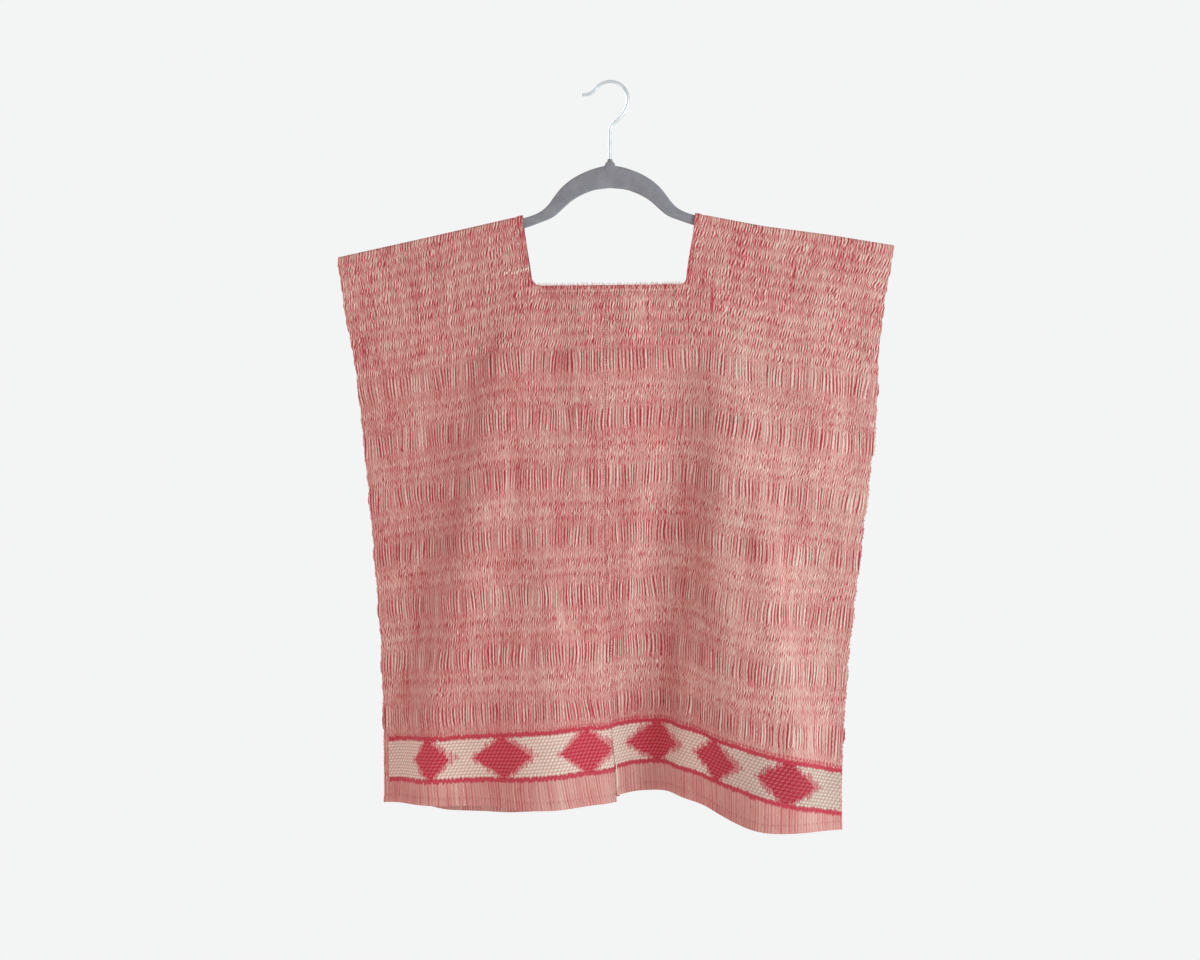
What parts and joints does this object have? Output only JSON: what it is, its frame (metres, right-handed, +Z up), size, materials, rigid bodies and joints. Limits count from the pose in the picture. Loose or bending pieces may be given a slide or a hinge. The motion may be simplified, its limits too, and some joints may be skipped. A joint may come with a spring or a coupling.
{
  "type": "huipil blouse on a hanger",
  "caption": "Hand-woven square-necked cotton huipil blouse with a diamond border, hanging by its shoulders on a slim flocked hanger with a wire hook.",
  "frame": {"origin": "inside of the top of the hanger's hook, where the rail or peg that holds it goes", "axes": "+Z up, -Y the way the blouse's front faces, +X to the right of somebody who faces the front"},
  "size_m": [0.6583, 0.1474, 0.8797],
  "materials": {
    "left_front_upper": "hand-woven cotton in crimson, dusty pink and cream",
    "left_front_lower": "hand-woven cotton in crimson, dusty pink and cream",
    "left_back": "hand-woven cotton in crimson, dusty pink and cream",
    "right_front": "hand-woven cotton in crimson, dusty pink and cream",
    "right_back": "hand-woven cotton in crimson, dusty pink and cream",
    "hanger_body": "grey velvet flock on plastic",
    "hanger_hook": "bright chromed steel wire"
  },
  "bodies": {
    "root": {"left_front_upper": "left_front_upper", "left_front_lower": "left_front_lower", "left_back": "left_back", "right_front": "right_front", "right_back": "right_back", "hanger_body": "hanger_body", "hanger_hook": "hanger_hook"}
  },
  "joints": []
}
